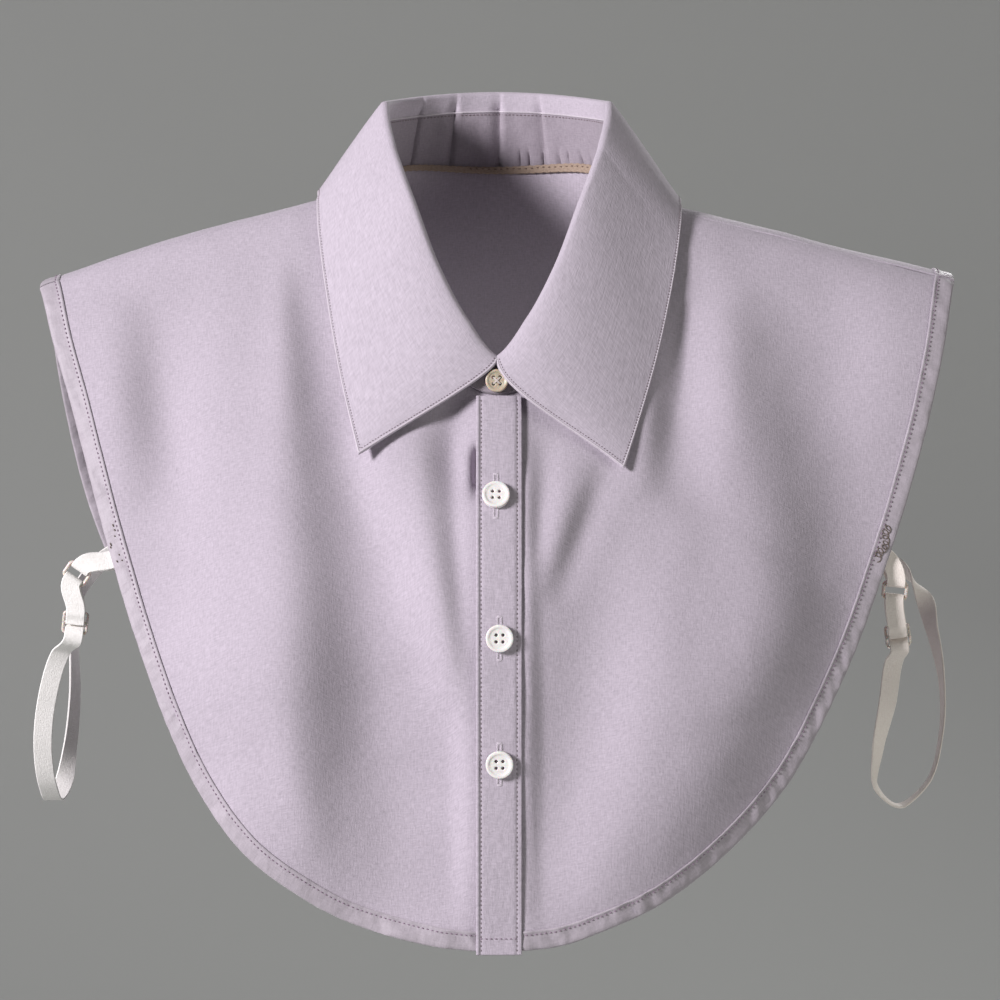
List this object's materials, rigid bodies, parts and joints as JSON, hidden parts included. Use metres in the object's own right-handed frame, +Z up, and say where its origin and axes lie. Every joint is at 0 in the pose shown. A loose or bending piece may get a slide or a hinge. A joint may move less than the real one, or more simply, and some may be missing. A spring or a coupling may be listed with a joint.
{
  "type": "detachable shirt collar with front and back bib",
  "caption": "Detachable shirt collar on a short front and back bib, buttoned down the front, with a looped elastic strap at each side.",
  "frame": {"origin": "middle of the neck, level with the points where the shoulders meet the neck", "axes": "+X to the right of someone facing the front, +Y to the back, +Z up; the front faces -Y"},
  "size_m": [0.3963, 0.1891, 0.3571],
  "materials": {
    "cotton": "plain woven pale lilac-grey shirting, matt",
    "collar_cotton": "the same shirting, fused and pressed smooth",
    "binding_cotton": "folded binding with a slight satin sheen",
    "tape_cotton": "woven tan tape, matt",
    "shell": "white pearly shirt buttons, glossy",
    "horn": "beige translucent button, glossy",
    "nylon": "clear to pinkish nylon, glossy",
    "elastic_left": "white elastic tape, satin",
    "elastic_right": "cream and beige elastic tape, satin"
  },
  "bodies": {
    "root": {"front_panel_left": "cotton", "front_panel_right": "cotton", "back_panel": "cotton", "edge_binding_front_left": "binding_cotton", "edge_binding_front_right": "binding_cotton", "edge_binding_back": "binding_cotton", "collar_stand": "cotton", "collar_leaf": "collar_cotton", "neck_tape": "tape_cotton", "placket": "cotton", "front_button_1": "shell", "front_button_2": "shell", "front_button_3": "shell", "collar_button": "horn", "strap_ring_left": "nylon", "strap_ring_right": "nylon", "strap_tab_left": "elastic_left", "strap_tab_right": "elastic_right", "strap_slider_left": "nylon", "strap_slider_right": "nylon", "strap_left": "elastic_left", "strap_right": "elastic_right"}
  },
  "joints": []
}
